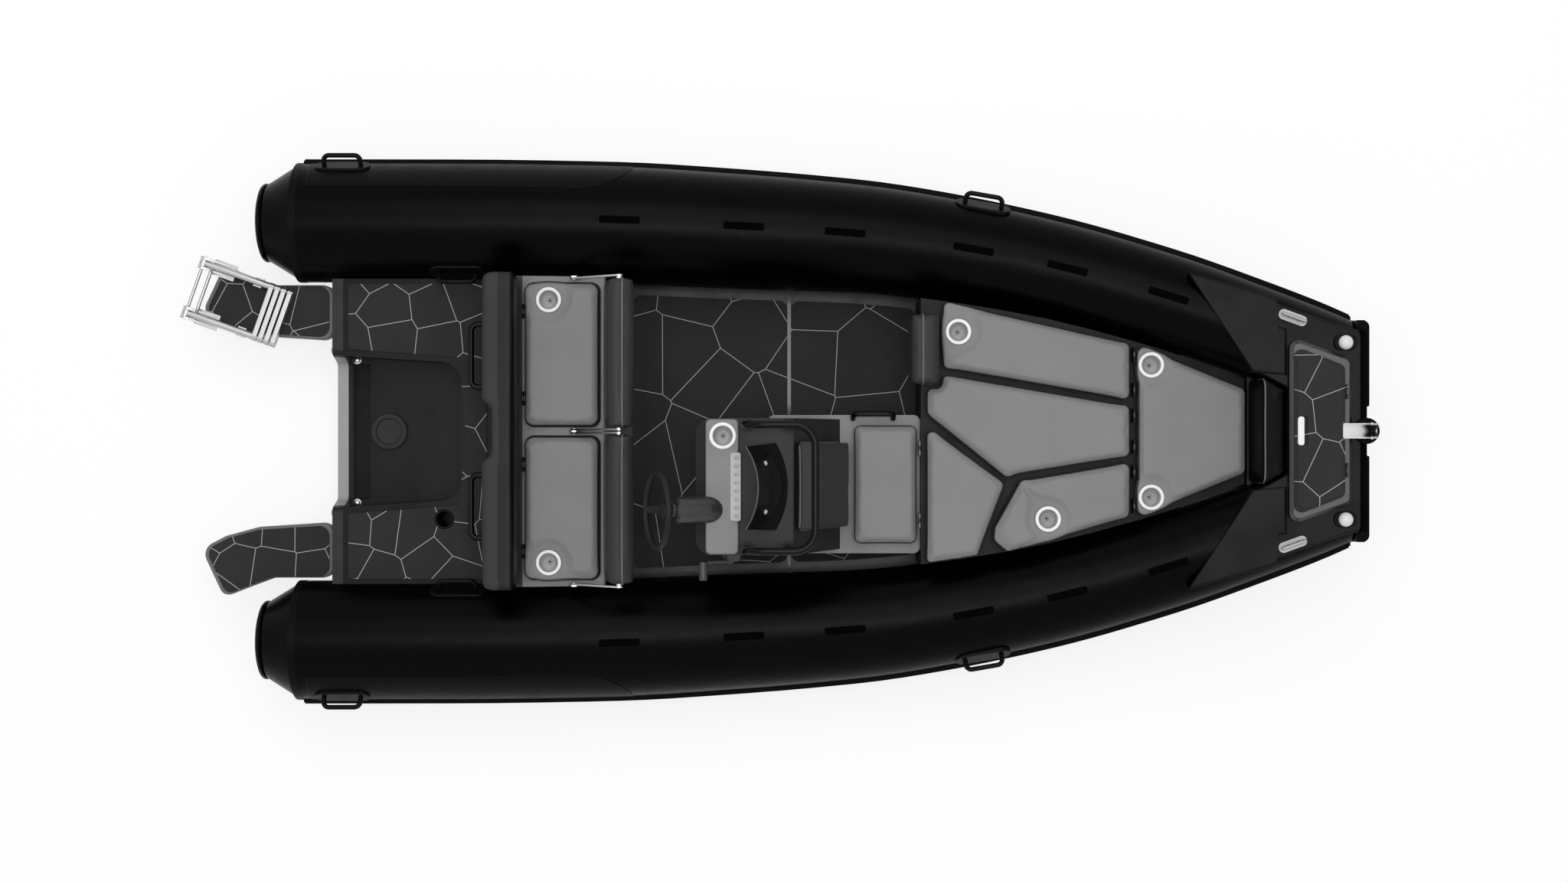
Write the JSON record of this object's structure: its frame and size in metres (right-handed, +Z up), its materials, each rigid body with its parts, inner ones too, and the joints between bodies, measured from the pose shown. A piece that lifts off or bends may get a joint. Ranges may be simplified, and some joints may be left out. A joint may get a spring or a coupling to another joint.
{
  "type": "inflatable rib boat",
  "caption": "Rigid-inflatable boat afloat: V hull in a black inflated collar, helm console, stern bench, bow lounge, swim platforms with a ladder; lids, backrests, hatch and wheel move.",
  "frame": {"origin": "on the centreline at the waterline, at the transom's aft face", "axes": "+X towards the bow, +Y to port, +Z up"},
  "size_m": [5.4429, 2.5572, 1.696],
  "materials": {
    "tube_fabric": "satin coated fabric",
    "rubber_black": "matt rubber",
    "hull_paint": "powder coated aluminium",
    "moulding_grey": "gel coat",
    "moulding_black": "textured gel coat",
    "pad_grey": "brushed foam sheet",
    "vinyl_grey": "grained vinyl",
    "vinyl_dark": "grained vinyl",
    "stainless": "polished stainless steel",
    "plastic_black": "moulded",
    "plastic_white": "moulded",
    "screen": "smoked acrylic",
    "wheel_skin": "soft foam",
    "anodised": "brushed"
  },
  "bodies": {
    "boat": {"collar_port": "tube_fabric", "collar_starboard": "tube_fabric", "end_caps": "rubber_black", "rub_rails": "rubber_black", "grab_handles": "rubber_black", "strap_handles": "tube_fabric", "hull": "hull_paint", "aft_deck": "moulding_black", "well_hatch": "plastic_black", "stern_coaming": "vinyl_dark", "stern_rails": "moulding_black", "swim_platforms": "hull_paint", "ladder_bracket": "stainless", "bench_base": "moulding_grey", "flip_posts": "stainless", "console_shelf": "moulding_grey", "helm": "plastic_black", "console_body": "moulding_black", "switch_panel": "plastic_black", "windscreen": "screen", "console_base": "moulding_grey", "throttle": "plastic_black", "bow_lounge": "moulding_grey", "bow_cups": "plastic_white", "bow_deck": "moulding_black", "hatch_plinth": "anodised", "roller_channel": "stainless", "bow_lamps": "plastic_white", "nose_plate": "moulding_black", "bow_fender": "rubber_black", "deck_pads": "pad_grey", "lid_hinges": "stainless", "console_rails": "moulding_black", "fixed_backrests": "vinyl_dark", "fixed_cushions": "vinyl_grey", "deck_fittings": "stainless"},
    "bench_port": {"bench_lid_port": "moulding_grey", "bench_cushion_port": "vinyl_grey"},
    "bench_starboard": {"bench_lid_starboard": "moulding_grey", "bench_cushion_starboard": "vinyl_grey"},
    "flip_port": {"flip_backrest_port": "vinyl_dark", "flip_arms_port": "stainless"},
    "flip_starboard": {"flip_backrest_starboard": "vinyl_dark", "flip_arms_starboard": "stainless"},
    "console_seat": {"console_lid": "moulding_grey", "console_cushion": "vinyl_grey"},
    "bow_port": {"bow_lid_port": "moulding_grey", "bow_cushion_port": "vinyl_grey"},
    "bow_centre": {"bow_lid_centre": "moulding_grey", "bow_cushion_centre": "vinyl_grey"},
    "bow_starboard": {"bow_lid_starboard": "moulding_grey", "bow_cushion_starboard": "vinyl_grey"},
    "anchor_lid": {"anchor_hatch": "moulding_grey", "hatch_latch": "stainless"},
    "ladder_1": {"ladder_section_1": "stainless"},
    "ladder_2": {"ladder_section_2": "stainless"},
    "ladder_3": {"ladder_section_3": "stainless"},
    "ladder_4": {"ladder_section_4": "stainless"},
    "steering": {"steering_wheel": "wheel_skin"},
    "roller": {"bow_roller": "rubber_black"}
  },
  "joints": [
    {"name": "bench_port_hinge", "type": "hinge", "parent": "boat", "child": "bench_port", "pos_m": [0.89, 0.352, 0.474], "axis": [0, -1, 0], "range_deg": [0, 65]},
    {"name": "bench_starboard_hinge", "type": "hinge", "parent": "boat", "child": "bench_starboard", "pos_m": [0.89, -0.352, 0.474], "axis": [0, -1, 0], "range_deg": [0, 65]},
    {"name": "flip_port_pivot", "type": "hinge", "parent": "boat", "child": "flip_port", "pos_m": [1.13, 0.35, 0.51], "axis": [0, 1, 0], "range_deg": [-80, 0]},
    {"name": "flip_starboard_pivot", "type": "hinge", "parent": "boat", "child": "flip_starboard", "pos_m": [1.13, -0.35, 0.51], "axis": [0, 1, 0], "range_deg": [-80, 0]},
    {"name": "console_seat_hinge", "type": "hinge", "parent": "boat", "child": "console_seat", "pos_m": [2.711, -0.243, 0.5256], "axis": [0, 1, 0], "range_deg": [0, 82]},
    {"name": "bow_port_hinge", "type": "hinge", "parent": "boat", "child": "bow_port", "pos_m": [3.682, 0.269, 0.5906], "axis": [0, 1, 0], "range_deg": [0, 80]},
    {"name": "bow_centre_hinge", "type": "hinge", "parent": "boat", "child": "bow_centre", "pos_m": [3.682, 0, 0.5906], "axis": [0, 1, 0], "range_deg": [0, 80]},
    {"name": "bow_starboard_hinge", "type": "hinge", "parent": "boat", "child": "bow_starboard", "pos_m": [3.682, -0.264, 0.5906], "axis": [0, 1, 0], "range_deg": [0, 80]},
    {"name": "anchor_hatch_hinge", "type": "hinge", "parent": "boat", "child": "anchor_lid", "pos_m": [4.574, 0, 0.8803], "axis": [0, 1, 0], "range_deg": [0, 86]},
    {"name": "ladder_fold", "type": "hinge", "parent": "boat", "child": "ladder_1", "pos_m": [-0.64, 0.666, 0.386], "axis": [-0.3338, -0.9426, 0], "range_deg": [0, 262]},
    {"name": "ladder_slide_2", "type": "slide", "parent": "ladder_1", "child": "ladder_2", "axis": [0.9426, -0.3338, 0], "range_m": [0, 0.282]},
    {"name": "ladder_slide_3", "type": "slide", "parent": "ladder_2", "child": "ladder_3", "axis": [0.9426, -0.3338, 0], "range_m": [0, 0.282]},
    {"name": "ladder_slide_4", "type": "slide", "parent": "ladder_3", "child": "ladder_4", "axis": [0.9426, -0.3338, 0], "range_m": [0, 0.282]},
    {"name": "steering_turn", "type": "hinge", "parent": "boat", "child": "steering", "pos_m": [1.545, -0.343, 1.104], "axis": [-0.9336, 0, 0.3584], "range_deg": [-810, 810]},
    {"name": "bow_roller_spin", "type": "hinge", "parent": "boat", "child": "roller", "pos_m": [4.679, 0, 0.8938], "axis": [0, 1, 0], "continuous": true}
  ],
  "couplings": [
    {"joint": "ladder_slide_2", "follows": "ladder_fold", "m_per_rad": 0.0612},
    {"joint": "ladder_slide_3", "follows": "ladder_fold", "m_per_rad": 0.0612},
    {"joint": "ladder_slide_4", "follows": "ladder_fold", "m_per_rad": 0.0612}
  ]
}
